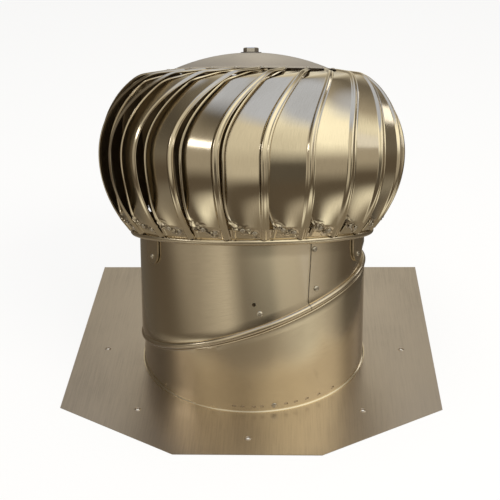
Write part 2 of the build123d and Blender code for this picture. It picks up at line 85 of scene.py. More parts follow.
class Shader:
    """The nodes of a material or of the world, and short ways to add to them."""

    def __init__(self, owner: bpy.types.ID) -> None:
        """Start with no nodes.

        Args:
            owner: The material or the world.
        """
        self.owner = owner
        owner.use_nodes = True
        self.tree = owner.node_tree
        self.tree.nodes.clear()

    def node(self, kind: str, **settings: object) -> bpy.types.Node:
        """Add a node and set its properties.

        Args:
            kind: Blender's name for the node type.
            **settings: Properties of the node.

        Returns:
            The new node.
        """
        made = self.tree.nodes.new(kind)
        for name, value in settings.items():
            setattr(made, name, value)
        return made

    def feed(self, socket: Socket, value: object) -> None:
        """Set an input to a value, or link it to an output.

        Args:
            socket: The input.
            value: A plain value or an output socket.
        """
        if isinstance(value, bpy.types.NodeSocket):
            self.tree.links.new(value, socket)
        else:
            socket.default_value = value

    def fed(self, kind: str, inputs: dict[int | str, object], **settings: object) -> bpy.types.Node:
        """Add a node with its inputs set or linked.

        Args:
            kind: Blender's name for the node type.
            inputs: Each input's number or name, and what it gets.
            **settings: Properties of the node.

        Returns:
            The new node.
        """
        made = self.node(kind, **settings)
        for key, value in inputs.items():
            self.feed(made.inputs[key], value)
        return made

    def place(self, grain: Grain, scale: Sequence[float]) -> Socket:
        """Coordinates of a surface, stretched along its grain.

        Args:
            grain: Where the coordinates come from.
            scale: Scale along each of them.

        Returns:
            The coordinates' output.
        """
        if grain is Grain.SHEET:
            source = self.node("ShaderNodeUVMap", uv_map=UV_NAME).outputs[0]
        else:
            source = self.node("ShaderNodeTexCoord").outputs["Object"]
        return self.fed("ShaderNodeMapping", {"Vector": source, "Scale": tuple(scale)}).outputs[0]

    def noise(self, place: Socket, scale: float, detail: float, roughness: float = 0.55) -> Socket:
        """Cloudy noise, about 0.3 to 0.7, with so many clouds to the metre and so many finer octaves."""
        inputs = {"Vector": place, "Scale": scale, "Detail": detail, "Roughness": roughness}
        return self.fed("ShaderNodeTexNoise", inputs).outputs[0]

    def ramp(self, value: Socket, stops: Sequence[tuple[float, Colour]]) -> Socket:
        """Colours along a value.

        Args:
            value: The value.
            stops: Places and colours.

        Returns:
            The colour's output.
        """
        made = self.fed("ShaderNodeValToRGB", {0: value})
        points = made.color_ramp.elements
        while len(points) < len(stops):
            points.new(0.5)
        for point, (where, colour) in zip(points, stops):
            point.position = where
            point.color = (*colour, 1.0)
        return made.outputs[0]

    def spread(self, value: Socket, low: float, high: float, start: float = 0.3, end: float = 0.7) -> Socket:
        """A value stretched from its range of start to end over a new one of low to high."""
        inputs = {"Value": value, "From Min": start, "From Max": end, "To Min": low, "To Max": high}
        return self.fed("ShaderNodeMapRange", inputs).outputs[0]

    def math(self, operation: str, first: object, second: object) -> Socket:
        """Two values put together by one of Blender's operations."""
        return self.fed("ShaderNodeMath", {0: first, 1: second}, operation=operation).outputs[0]

    def blend(self, first: Socket, second: Socket, share: float) -> Socket:
        """Two values mixed, the second by a fixed share."""
        return self.fed("ShaderNodeMix", {0: share, 2: first, 3: second}, data_type="FLOAT").outputs[0]

    def blend_colours(self, first: object, second: object, share: Socket) -> Socket:
        """Two colours mixed, the second by a share that varies."""
        return self.fed("ShaderNodeMix", {0: share, 6: first, 7: second}, data_type="RGBA").outputs[2]

    def blend_surfaces(self, first: Socket, second: Socket, share: Socket) -> Socket:
        """Two surfaces mixed, the second by a share that varies."""
        return self.fed("ShaderNodeMixShader", {0: share, 1: first, 2: second}).outputs[0]

    def bump(self, height: Socket, strength: float, depth: float, under: Optional[Socket] = None) -> Socket:
        """Bent normals from a height.

        Args:
            height: The height.
            strength: How much of it counts.
            depth: Its depth in metres.
            under: Normals that it adds to.

        Returns:
            The normals' output.
        """
        made = self.fed("ShaderNodeBump", {"Height": height, "Strength": strength, "Distance": depth})
        if under is not None:
            self.feed(made.inputs["Normal"], under)
        return made.outputs[0]

    def light(self, kind: str, colour: object, strength: float) -> Socket:
        """An even glow from an Emission or Background node."""
        return self.fed(kind, {"Color": colour, "Strength": strength}).outputs[0]

    def close(self, surface: Socket, kind: str = "ShaderNodeOutputMaterial") -> bpy.types.ID:
        """Close the nodes with an output and give back the material or world."""
        self.fed(kind, {"Surface": surface})
        return self.owner

    def metal(self, **inputs: object) -> Finish:
        """Close the material with a bare metal surface, whose inputs are named with _ for a space."""
        return self.surface(Metallic=1.0, **inputs)

    def surface(self, **inputs: object) -> Finish:
        """Close the material with a Principled surface, whose inputs are named with _ for a space."""
        named = {name.replace("_", " "): value for name, value in inputs.items()}
        return self.close(self.fed("ShaderNodeBsdfPrincipled", named).outputs[0])


def new_shader(name: str) -> Shader:
    """A new material's shader."""
    return Shader(bpy.data.materials.new(name))


@dataclass(frozen=True)
class SheetFinish:
    """Rolled sheet: metal with a fine drawn grain, cloudy handling marks and a slight wave."""

    name: str
    colour: Colour
    shade: Colour
    roughness: float
    grain: Grain = Grain.SHEET
    grain_stretch: Triple = (0.03, 1.0, 1.0)
    grain_scale: float = 1500.0
    grain_strength: float = 0.03
    grain_depth: float = 0.0002
    cloud_scale: float = 9.0
    cloud_share: float = 0.55
    speck_scale: float = 300.0
    speck_share: float = 0.08
    wave_scale: float = 9.0
    wave_strength: float = 0.5
    wave_depth: float = 0.0005
    tone_places: Triple = (0.34, 0.5, 0.66)
    lightening: float = 1.06
    rough_spread: Pair = (0.05, -0.04)
    anisotropy: float = 0.3
    glint_turn: float = 0.0
    # Painted shade and grime: a dark colour mixed in, in patches, where the mesh's attribute marks creases or
    # a lap's edge.
    shade_grime_share: float = 0.0
    shade_grime_scale: float = 190.0
    shade_grime_thinnest: float = 0.35
    shade_grime_patches: Pair = (0.4, 0.58)
    shade_and_grime: Colour = (0.20, 0.158, 0.115)

    def add_shade_and_grime(self, made: Shader, place: Socket, colour: Socket) -> Socket:
        """The colour darkened by painted shade and grime, in patches, where the mesh's attribute marks it.

        Args:
            made: The finish's shader.
            place: The sheet's coordinates.
            colour: The colour before the painted shade and grime.

        Returns:
            The colour with the painted shade and grime.
        """
        creased = made.node("ShaderNodeAttribute", attribute_name=SHADE_GRIME_NAME).outputs["Fac"]
        noise = made.noise(place, self.shade_grime_scale, 4.0, 0.6)
        patches = made.spread(noise, self.shade_grime_thinnest * self.shade_grime_share, self.shade_grime_share, *self.shade_grime_patches)
        return made.blend_colours(colour, (*self.shade_and_grime, 1.0), made.math("MULTIPLY", creased, patches))

    def material(self) -> Finish:
        """Make the finish.

        Returns:
            The Blender material.
        """
        made = new_shader(self.name)
        even = made.place(self.grain, EVEN)
        lines = made.noise(made.place(self.grain, self.grain_stretch), self.grain_scale, 3.0)
        clouds = made.noise(even, self.cloud_scale, 4.0, 0.5)
        specks = made.noise(even, self.speck_scale, 2.0)
        waves = made.noise(even, self.wave_scale, 0.5)
        tone = made.blend(made.blend(lines, clouds, self.cloud_share), specks, self.speck_share)
        light = tuple(min(1.0, c * self.lightening) for c in self.colour)
        colour = made.ramp(tone, tuple(zip(self.tone_places, (self.shade, self.colour, light))))
        # Painted shade and grime where the mesh's attribute marks it.
        if self.shade_grime_share:
            colour = self.add_shade_and_grime(made, even, colour)
        rough = made.spread(tone, *(self.roughness + change for change in self.rough_spread))
        waved = made.bump(waves, self.wave_strength, self.wave_depth)
        normal = made.bump(lines, self.grain_strength, self.grain_depth, waved)
        glint = {}
        if self.grain is Grain.SHEET:
            along = made.node("ShaderNodeTangent", direction_type="UV_MAP", uv_map=UV_NAME)
            glint = {"Tangent": along.outputs[0], "Anisotropic": self.anisotropy,
                     "Anisotropic_Rotation": self.glint_turn}
        return made.metal(Base_Color=colour, Roughness=rough, Normal=normal, **glint)


@dataclass(frozen=True)
class TurnedFinish:
    """Turned or pressed steel: fine all-round scratches and a dull plating."""

    name: str
    colour: Colour
    shade: Colour
    roughness: float
    scratch_scale: float = 900.0
    cloud_scale: float = 60.0

    def material(self) -> Finish:
        """Make the finish.

        Returns:
            The Blender material.
        """
        made = new_shader(self.name)
        place = made.place(Grain.TURNED, EVEN)
        scratches = made.noise(place, self.scratch_scale, 4.0, 0.7)
        tone = made.blend(scratches, made.noise(place, self.cloud_scale, 3.0), 0.5)
        colour = made.ramp(tone, ((0.38, self.shade), (0.58, self.colour)))
        rough = made.spread(tone, self.roughness + 0.1, self.roughness - 0.06)
        return made.metal(Base_Color=colour, Roughness=rough, Normal=made.bump(scratches, 0.1, 0.0001))


@dataclass(frozen=True)
class RubberFinish:
    """Moulded rubber: near black, with a fine dusty tooth."""

    name: str
    colour: Colour
    tooth_scale: float = 1400.0
    dust_scale: float = 90.0
    dust_paleness: float = 2.2

    def material(self) -> Finish:
        """Make the finish.

        Returns:
            The Blender material.
        """
        made = new_shader(self.name)
        place = made.place(Grain.TURNED, EVEN)
        tooth = made.noise(place, self.tooth_scale, 3.0)
        dust = made.noise(place, self.dust_scale, 4.0)
        pale = tuple(self.dust_paleness * c for c in self.colour)
        colour = made.ramp(dust, ((0.4, self.colour), (0.7, pale)))
        rough = made.spread(dust, 0.7, 0.9)
        return made.surface(Base_Color=colour, Roughness=rough, Normal=made.bump(tooth, 0.2, 0.0002))


FLASHING = SheetFinish(
    "flashing_sheet", (0.64, 0.555, 0.455), (0.55, 0.475, 0.385), 0.33, Grain.PLATE, (1.0, 0.03, 1.0),
    grain_scale=700.0, cloud_scale=6.0, wave_depth=0.0008, wave_scale=5.0)
# The collar's dark colour below paints the shadow and grime along the upper gore's lap.
COLLAR = SheetFinish(
    "collar_sheet", (0.76, 0.66, 0.50), (0.70, 0.605, 0.455), 0.21, anisotropy=0.5, glint_turn=0.25,
    grain_strength=0.006, wave_depth=0.0002, shade_grime_share=1.0, shade_and_grime=(0.09, 0.072, 0.052))
# The blades' share below paints shade and grime into the creases of the tuck at each foot.
BLADE = SheetFinish(
    "blade_sheet", (0.84, 0.74, 0.56), (0.74, 0.645, 0.48), 0.14, grain_stretch=(1.0, 0.04, 1.0),
    wave_depth=0.0004, wave_scale=16.0, shade_grime_share=0.95)
# The blades' inner faces: a dark, dull copy of the blade metal, which paints their shade.
SHADED_BLADE_BACK = SheetFinish(
    "shaded_blade_back", (0.30, 0.25, 0.18), (0.21, 0.175, 0.125), 0.42, grain_stretch=(1.0, 0.04, 1.0))
RING = SheetFinish("ring_sheet", (0.82, 0.72, 0.55), (0.70, 0.61, 0.46), 0.2)
CAP = SheetFinish("cap_sheet", (0.60, 0.55, 0.51), (0.52, 0.475, 0.44), 0.36)
BRACE = TurnedFinish("brace_strip", (0.76, 0.66, 0.50), (0.60, 0.52, 0.39), 0.32)
RIVET = TurnedFinish("rivet_metal", (0.80, 0.74, 0.63), (0.56, 0.51, 0.43), 0.26)
STEEL = TurnedFinish("plated_steel", (0.62, 0.59, 0.54), (0.44, 0.42, 0.38), 0.32)
NUT = TurnedFinish("bright_nut", (0.84, 0.81, 0.76), (0.66, 0.63, 0.58), 0.24)
RACE = TurnedFinish("ground_race", (0.62, 0.62, 0.61), (0.50, 0.50, 0.49), 0.22)
SEAL = RubberFinish("seal_rubber", (0.03, 0.029, 0.028))


def add_object(name: str, points: Array, faces: Sequence[Sequence[int]], finish: Finish,
               sheet: Optional[Array] = None, crease: float = 35.0) -> Piece:
    """Make a smooth-shaded object from points in millimetres.

    Args:
        name: The object's name.
        points: Corner points, one to a row.
        faces: Corner numbers of each face.
        finish: The material.
        sheet: Sheet coordinates of each point, in metres, for the grain.
        crease: Edges that bend more than this many degrees stay sharp.

    Returns:
        The new object.
    """
    mesh = bpy.data.meshes.new(name)
    mesh.from_pydata((np.asarray(points, float) * MM).tolist(), [], [list(f) for f in faces])
    if sheet is not None:
        layer = mesh.uv_layers.new(name=UV_NAME)
        corner = np.zeros(len(mesh.loops), np.int32)
        mesh.loops.foreach_get("vertex_index", corner)
        layer.data.foreach_set("uv", np.asarray(sheet, np.float32)[corner].ravel())
    smooth(mesh, crease)
    mesh.materials.append(finish)
    made = bpy.data.objects.new(name, mesh)
    bpy.context.scene.collection.objects.link(made)
    return made


def smooth(mesh: bpy.types.Mesh, crease: float) -> None:
    """Shade a mesh smoothly, but for edges that bend more than so many degrees."""
    mesh.shade_smooth()
    mesh.set_sharp_from_angle(angle=math.radians(crease))


def set_shade_and_grime(piece: Piece, shade_and_grime: Array) -> None:
    """Keep on a piece's mesh how much painted shade and grime each of its points gets."""
    layer = piece.data.attributes.new(SHADE_GRIME_NAME, "FLOAT", "POINT")
    layer.data.foreach_set("value", shade_and_grime.ravel())


def grid_faces(rows: int, columns: int, wrap_rows: bool, wrap_columns: bool) -> list[tuple[int, ...]]:
    """Quads of a grid of points.

    Args:
        rows: Number of rows.
        columns: Number of points in a row.
        wrap_rows: Whether the last row joins the first.
        wrap_columns: Whether each row's end joins its start.

    Returns:
        Corner numbers of each quad.
    """
    made = []
    for i in range(rows if wrap_rows else rows - 1):
        for j in range(columns if wrap_columns else columns - 1):
            k, n = (i + 1) % rows, (j + 1) % columns
            made.append((i * columns + j, k * columns + j, k * columns + n, i * columns + n))
    return made


def closed_shape(rings: Sequence[Array]) -> Shape:
    """A closed skin through rings of points, in order round its section."""
    rows = np.stack(rings, axis=1)
    return rows.reshape(-1, 3), [f[::-1] for f in grid_faces(*rows.shape[:2], True, True)]


def wrap(name: str, rings: Sequence[Array], around: Array, along: Array, finish: Finish,
         crease: float = 35.0) -> Piece:
    """Make a closed skin through rings of points, with its grain laid out round it and along it.

    Args:
        name: The piece's name.
        rings: Points of each ring, in order round the section.
        around: Lengths round the skin, one for each point of a ring.
        along: Lengths along the section, one for each ring.
        finish: The material.
        crease: Edges that bend more than this many degrees stay sharp.

    Returns:
        The new object.
    """
    sheet = np.stack(np.meshgrid(around, along, indexing="ij"), axis=-1) * MM
    return add_object(name, *closed_shape(rings), finish, sheet.reshape(-1, 2), crease)


def between(first: Array, last: Array, steps: int) -> list[Array]:
    """Rings in even steps from a first one to a last one."""
    return [first + (last - first) * way for way in np.linspace(0, 1, steps)]


def merged(shapes: Sequence[Shape]) -> Shape:
    """Several shapes as one.

    Args:
        shapes: Points and faces of each.

    Returns:
        All points, and all faces with their numbers moved on.
    """
    faces, first = [], 0
    for points, own in shapes:
        faces += [tuple(first + k for k in f) for f in own]
        first += len(points)
    return np.concatenate([points for points, _ in shapes]), faces


def run_lengths(points: Array) -> Array:
    """Length along a row of points, from zero."""
    steps = np.linalg.norm(np.diff(points, axis=0), axis=1)
    return np.concatenate([[0.0], np.cumsum(steps)])


def round_turns(steps: int) -> Array:
    """Angles of so many even steps round a circle."""
    return np.linspace(0, 2 * math.pi, steps, endpoint=False)


def arc(centre: Pair, radius: float, start: float, end: float, steps: int) -> list[Pair]:
    """Points of an arc in a profile, between two angles in degrees."""
    angles = np.radians(np.linspace(start, end, steps))
    return [(centre[0] + radius * math.cos(a), centre[1] + radius * math.sin(a)) for a in angles]


def adopt(piece: Piece, body: Body, slot: str, *nodes: str) -> None:
    """Let a piece ride on a body, in place of nodes of the frame where it stands for some.

    Args:
        piece: The piece.
        body: The body that carries it.
        slot: Not used.
        *nodes: The nodes that it stands for.
    """
    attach(piece, body.value)
    if nodes:
        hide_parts(*nodes)
    LOG.info("%s rides on %s", piece.name, body.value)


def dress(node: str, finish: Finish) -> None:
    """Give a node of the frame its finish.

    Args:
        node: The node's name.
        finish: The material.
    """
    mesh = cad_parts[node].data
    mesh.materials.clear()
    mesh.materials.append(finish)
    LOG.info("%s has %s", node, finish.name)


@dataclass
class Axes:
    """A frame: heights run along its upright, and angles count in degrees from its front to the right."""

    origin: Array
    right: Array
    back: Array
    up: Array

    def radial(self, angle: float) -> Array:
        """Direction away from the upright at an angle."""
        turn = math.radians(angle - 90)
        return self.right * math.cos(turn) + self.back * math.sin(turn)

    def around(self, angle: float) -> Array:
        """Direction round the upright, to the right, at an angle."""
        turn = math.radians(angle - 90)
        return self.back * math.cos(turn) - self.right * math.sin(turn)

    def point(self, angle: float, radius: float, height: float) -> Array:
        """A place from its angle, radius and height."""
        return self.origin + self.radial(angle) * radius + self.up * height

    def ring(self, turns: Array, radius: Array | float, height: float) -> Array:
        """Points of a circle about the upright.

        Args:
            turns: Angles from the right, in radians.
            radius: The circle's radius, or one for each angle.
            height: Its height.

        Returns:
            The points, one to a row.
        """
        flat = np.outer(np.cos(turns), self.right) + np.outer(np.sin(turns), self.back)
        return self.origin + self.up * height + flat * np.reshape(radius * np.ones(len(turns)), (-1, 1))

    def outward(self, place: Array) -> Array:
        """Direction from the upright to a place, square to the upright.

        Args:
            place: The place.

        Returns:
            The direction.
        """
        arm = place - self.origin
        arm = arm - self.up * arm.dot(self.up)
        return arm / np.linalg.norm(arm)

    def turn(self, angle: float) -> Array:
        """The matrix of a turn about the upright."""
        return np.array(Matrix.Rotation(math.radians(angle), 3, Vector(self.up)))

    def turned(self, places: Array, angle: float) -> Array:
        """Places turned about the upright."""
        return (places - self.origin) @ self.turn(angle).T + self.origin

    def lathe(self, name: str, profile: Sequence[Pair], finish: Finish, steps: int = 240) -> Piece:
        """Turn a closed profile about the upright.

        Args:
            name: The piece's name.
            profile: Radius and height of each corner, in order round the section.
            finish: The material.
            steps: Number of steps round.

        Returns:
            The new object.
        """
        section, turns = np.array(profile), round_turns(steps)
        rings = [self.ring(turns, r, h) for r, h in section]
        return wrap(name, rings, turns * section[:, 0].max(), run_lengths(section), finish)


@dataclass
class Layout:
    """The base's frame, the leaning head's, and that of the swivel seam between them."""

    seam_height: float = 95.5
    collar_cut: float = 21.0
    swivel_at_rest: float = 60.0

    def __post_init__(self) -> None:
        """Work out the frames."""
        cut, turn = math.radians(self.collar_cut), math.radians(self.swivel_at_rest)
        lean = 2 * math.asin(math.sin(cut) * math.sin(turn / 2))
        azimuth = math.pi / 2 + math.atan2(math.sin(turn), math.cos(cut) * (1 - math.cos(turn)))
        right, back, up = np.eye(3)
        self.base = Axes(np.zeros(3), right, back, up)
        middle = up * self.seam_height
        shaft = np.array((0.0, math.sin(lean), math.cos(lean)))
        self.head = Axes(middle, right, np.cross(shaft, right), shaft)
        level = math.sin(cut)
        normal = np.array((level * math.cos(azimuth), level * math.sin(azimuth), math.cos(cut)))
        flat = right - normal * right.dot(normal)
        seam_right = flat / np.linalg.norm(flat)
        self.seam = Axes(middle, seam_right, np.cross(normal, seam_right), normal)


@dataclass
class Meridian:
    """The line that the blades' outer edges follow, from the foot on the ring to the cap."""

    head_radius: float = 207.3
    equator_height: float = 190.0
    foot_radius: float = 166.5
    foot_height: float = 89.3
    foot_length: float = 18.0
    upper_radius: float = 127.0
    upper_angle: float = 52.0
    shoulder_radius: float = 28.0
    top_slope: float = 7.0
    top_radius: float = 106.0

    def __post_init__(self) -> None:
        """Work out the lower arc and the lengths at which the line's stretches end."""
        reach = self.head_radius - self.foot_radius
        self.low = 2 * math.atan(reach / (self.equator_height - self.foot_height + self.foot_length))
        self.lower_radius = (reach - self.foot_length * math.sin(self.low)) / (1 - math.cos(self.low))
        self.equator = self.foot_length + self.lower_radius * self.low
        self.shoulder = self.equator + self.upper_radius * math.radians(self.upper_angle)
        flat = self.shoulder + self.shoulder_radius * math.radians(90 - self.upper_angle - self.top_slope)
        self.slope = math.radians(self.top_slope)
        self.length = flat + (self.at(flat)[0] - self.top_radius) / math.cos(self.slope)

    def at(self, length: float) -> tuple[float, float, float, float]:
        """Place and direction at a length along the line.

        Args:
            length: The length from the foot.

        Returns:
            Radius, height, and the direction's two shares.
        """
        if length < self.foot_length:
            out, up = math.sin(self.low), math.cos(self.low)
            return self.foot_radius + length * out, self.foot_height + length * up, out, up
        if length < self.equator:
            turn = self.low - (length - self.foot_length) / self.lower_radius
            out, up = math.sin(turn), math.cos(turn)
            radius = self.head_radius - self.lower_radius * (1 - up)
            return radius, self.equator_height - self.lower_radius * out, out, up
        centre, height = self.head_radius - self.upper_radius, self.equator_height
        if length < self.shoulder:
            turn = (length - self.equator) / self.upper_radius
            out, up = math.sin(turn), math.cos(turn)
            return centre + self.upper_radius * up, height + self.upper_radius * out, -out, up
        high, end = math.radians(self.upper_angle), math.radians(90 - self.top_slope)
        centre += (self.upper_radius - self.shoulder_radius) * math.cos(high)
        height += (self.upper_radius - self.shoulder_radius) * math.sin(high)
        turn = min(high + (length - self.shoulder) / self.shoulder_radius, end)
        over = max(0.0, length - self.shoulder - self.shoulder_radius * (end - high))
        out, up = math.sin(turn), math.cos(turn)
        radius = centre + self.shoulder_radius * up - over * out
        return radius, height + self.shoulder_radius * out + over * up, -out, up


@dataclass
class BladeSet:
    """The ring of pressed blades: each is a twisted strip with a rounded rib near its outer edge."""

    head: Axes
    line: Meridian
    count: int = 22
    phase: float = 7.8
    equator_width: float = 60.0
    foot_width: float = 46.2
    top_width: float = 40.0
    width_powers: tuple[int, int] = (6, 10)
    equator_tilt: float = 22.0
    top_tilt: float = 4.5
    tilt_powers: tuple[int, int] = (4, 2)
    tilt_reach: float = 0.9
    foot_sweep: float = 2.0
    top_sweep: float = 40.0
    rib_width: float = 9.0
    rib_height: float = 2.4
    lip: float = 2.5
    edge_half: float = 0.9
    edge_height: float = 0.35
    hem_width: float = 5.2
    hem_height: float = 1.7
    sheet: float = 0.6
    foot_stations: int = 36
    upper_stations: int = 60
    tuck_start: float = 5.0
    tuck_rise: float = 14.0
    tuck_width: float = 4.4
    tuck_height: float = 1.15
    dimple_radius: float = 3.4
    dimple_rim: float = 3.9
    dimple_rim_width: float = 1.1
    dimple_depth: float = 0.25
    rivet_places: tuple[tuple[float, float], ...] = ((18.0, 9.0), (33.0, 12.5))
    grain_shift: float = 97.0

    def __post_init__(self) -> None:
        """Work out the angle between blades and the tilt at which a foot lies on the ring."""
        self.pitch = 360 / self.count
        self.seat = self.line.at(0.0)[0] / math.cos(self.line.low)
        self.foot_tilt = math.degrees(math.asin(self.foot_width / (2 * self.seat)))

    def share(self, length: float) -> float:
        """Share of the way from the equator to the blade's foot or top."""
        span = self.line.equator if length < self.line.equator else self.line.length - self.line.equator
        return abs(length - self.line.equator) / span

    def eased(self, length: float, values: tuple[float, float, float], powers: tuple[int, int],
              top_reach: float = 1.0) -> float:
        """A value that holds about the equator and changes by a power of the way to the foot or the top.

        Args:
            length: The length along the blade.
            values: The values at the foot, the equator and the top.
            powers: The powers towards the foot and towards the top.
            top_reach: The share of the way up at which the top's value is reached.

        Returns:
            The value there.
        """
        foot, equator, top = values
        if length >= self.line.equator:
            return equator + (top - equator) * min(1.0, self.share(length) / top_reach) ** powers[1]
        way = min(1.0, (self.line.equator - length) / (self.line.equator - self.line.foot_length))
        return equator + (foot - equator) * way ** powers[0]

    def section(self, length: float) -> tuple[Array, Array, Array, float, float]:
        """The blade's section at a length along it.

        Args:
            length: The length from the foot.

        Returns:
            Its outer edge, its direction inwards, its outward normal, its width and its angle.
        """
        radius, height, out_share, up_share = self.line.at(length)
        sweep = self.foot_sweep if length < self.line.equator else self.top_sweep
        angle = self.phase + sweep * self.share(length) ** 2
        tilts = (self.foot_tilt, self.equator_tilt, self.top_tilt)
        tilt = math.radians(self.eased(length, tilts, self.tilt_powers, self.tilt_reach))
        widths = (self.foot_width, self.equator_width, self.top_width)
        sideways = -self.head.around(angle)
        outward = self.head.radial(angle) * up_share - self.head.up * out_share
        inwards = sideways * math.cos(tilt) - outward * math.sin(tilt)
        normal = outward * math.cos(tilt) + sideways * math.sin(tilt)
        width = self.eased(length, widths, self.width_powers)
        return self.head.point(angle, radius, height), inwards, normal, width, angle

    def profile(self, width: float) -> tuple[Array, Array]:
        """The blade's pressed profile across its width.

        Args:
            width: The strip's width.

        Returns:
            Places across the strip and their heights above it.
        """
        flat = self.lip + self.rib_width
        across = np.concatenate([
            np.linspace(0.0, self.lip, 4),
            self.lip + self.rib_width * np.linspace(0.08, 1.0, 12),
            np.linspace(flat + 1.0, width - self.hem_width - 0.8, 26),
            np.linspace(width - self.hem_width, width, 9),
        ])
        rib = np.clip((across - self.lip) / self.rib_width, 0, 1)
        edge = np.clip(1 - np.abs(across - self.edge_half) / self.edge_half, 0, 1)
        hem = np.clip((across - width + self.hem_width) / self.hem_width, 0, 1)
        heights = self.rib_height * np.sin(np.pi * rib) ** 1.3 + self.edge_height * edge
        return across, heights + self.hem_height * np.sin(np.pi * hem) ** 0.8

    def crumple(self, across: Array, length: float, number: int) -> tuple[Array, Array]:
        """The tuck where the strip is gathered on to the ring, its buckles, and a dimple round each rivet.

        The tuck climbs across the strip. Its buckles are waves of a few millimetres that cross each other.

        Args:
            across: Places across the strip.
            length: The length along it.
            number: The blade's number, which shifts the pattern.

        Returns:
            Heights of the buckles, and how creased the sheet is.
        """
        start = self.lip + self.rib_width
        way = np.clip((across - start) / (self.foot_width - start), 0, 1.2)
        turn = 1.7 * number
        off = length - self.tuck_start - self.tuck_rise * way - 1.4 * np.sin(across * 0.31 + turn)
        depth = 1.0 + 0.4 * np.sin(across * 0.8 + 2 * turn)
        folds = depth * np.sin(off * 1.15 + 1.2 * np.sin(across * 0.45 + turn))
        buckles = folds + 0.5 * np.sin(across * 0.75 + off * 0.9 + turn)
        creased = np.clip(way * 5.0, 0, 1) * np.exp(-((off / self.tuck_width) ** 2))
        heights = self.tuck_height * creased * buckles
        for place, height in self.rivet_places:
            away = np.hypot(across - place, length - height)
            rim = np.exp(-((away - self.dimple_rim) / self.dimple_rim_width) ** 2)
            heights = heights * (1 - np.exp(-((away / self.dimple_radius) ** 4))) - self.dimple_depth * rim
        return heights, creased

    def strip(self, number: int) -> tuple[Array, Array, Array]:
        """Points of one blade, a closed loop of its profile at each station, a millimetre apart at the foot.

        Args:
            number: The blade's number, from zero.

        Returns:
            The points by station, their sheet coordinates, and how creased the sheet is there.
        """
        foot = self.foot_stations
        lengths = np.concatenate([np.linspace(0, foot, foot, endpoint=False),
                                  np.linspace(foot, self.line.length, self.upper_stations)])
        rows, sheet, shade_and_grime = [], [], []
        for length in lengths.tolist():
            edge, inwards, normal, width, _ = self.section(length)
            across, heights = self.profile(width)
            buckles, creased = self.crumple(across, length, number)
            heights = heights + buckles
            outer = edge + np.outer(across, inwards) + np.outer(heights, normal)
            inner = edge + np.outer(across, inwards) + np.outer(heights - self.sheet, normal)
            rows.append(np.concatenate([outer, inner[::-1]]))
            # How creased the tuck is also sets its painted shade and grime.
            shade_and_grime.append(np.concatenate([creased, creased[::-1]]))
            both = np.concatenate([across, across[::-1]]) + self.grain_shift * number
            sheet.append(np.stack([both * MM, np.full(len(both), length * MM)], axis=1))
        return np.array(rows), np.array(sheet), np.array(shade_and_grime)

    def build(self, finish: Finish, back: Finish) -> None:
        """Make every blade in place of its node.

        Args:
            finish: The material of the outer side.
            back: The material of the inner side, a darker copy of the blade metal that paints its shade.
        """
        for number in range(self.count):
            rows, sheet, shade_and_grime = self.strip(number)
            stations, loop = rows.shape[:2]
            points = self.head.turned(rows.reshape(-1, 3), number * self.pitch)
            faces = grid_faces(stations, loop, False, True)
            half, last = loop // 2, (stations - 1) * loop
            for first in (0, last):
                for j in range(half - 1):
                    quad = (first + j, first + j + 1, first + loop - 2 - j, first + loop - 1 - j)
                    faces.append(quad if first else quad[::-1])
            name = f"blade_{number + 1:02d}"
            made = add_object(f"pressed_{name}", points, faces, finish, sheet.reshape(-1, 2))
            made.data.materials.append(back)
            set_shade_and_grime(made, shade_and_grime)
            # The inner faces take the darker back finish, their painted shade.
            inside = [half <= k % loop < loop - 1 and k < last for k in range(len(faces))]
            made.data.polygons.foreach_set("material_index", np.array(inside, np.int32))
            adopt(made, Body.TURBINE, "blade", name)


@dataclass
class TurbineRing:
    """The ring under the blades' feet: a cone, a rounded bead and a rolled lip."""

    head: Axes
    blades: BladeSet
    band: float = 15.0
    sheet: float = 1.0
    skirt_radius: float = 160.6
    skirt_height: float = 81.4
    bead_radius: float = 4.3
    bead_out: float = 0.7
    bead_lift: float = 0.2
    bead_arc: tuple[float, float, int] = (58, -72, 14)
    lip_radius: float = 1.5
    lip_out: float = 0.6
    lip_arc: tuple[float, float, int] = (-62, -250, 9)
    bend_ease: tuple[float, float] = (-0.2, 0.4)
    seat_gap: float = 0.3

    def build(self, finish: Finish) -> None:
        """Make the ring in place of its node.

        Args:
            finish: The ring's material.
        """
        radius, height, out_share, up_share = self.blades.line.at(0.0)
        inwards = np.array((-up_share, out_share))
        sagitta = self.blades.foot_width ** 2 / (8 * self.blades.seat)
        foot = np.array((radius, height)) + inwards * (self.blades.sheet + sagitta + self.seat_gap)
        top = foot + np.array((out_share, up_share)) * self.band
        inset = inwards * self.sheet
        out, low = self.skirt_radius, self.skirt_height
        bead_centre = (out + self.bead_out, low + self.bead_radius + self.bead_lift)
        lip_centre = (out - self.lip_radius + self.lip_out, low + self.lip_radius)
        profile = [tuple(foot), *arc(bead_centre, self.bead_radius, *self.bead_arc),
                   *arc(lip_centre, self.lip_radius, *self.lip_arc),
                   tuple(foot + inset + np.array(self.bend_ease)), tuple(top + inset), tuple(top)]
        made = self.head.lathe("rolled_lower_ring", profile, finish)
        adopt(made, Body.TURBINE, "ring", "lower_ring")


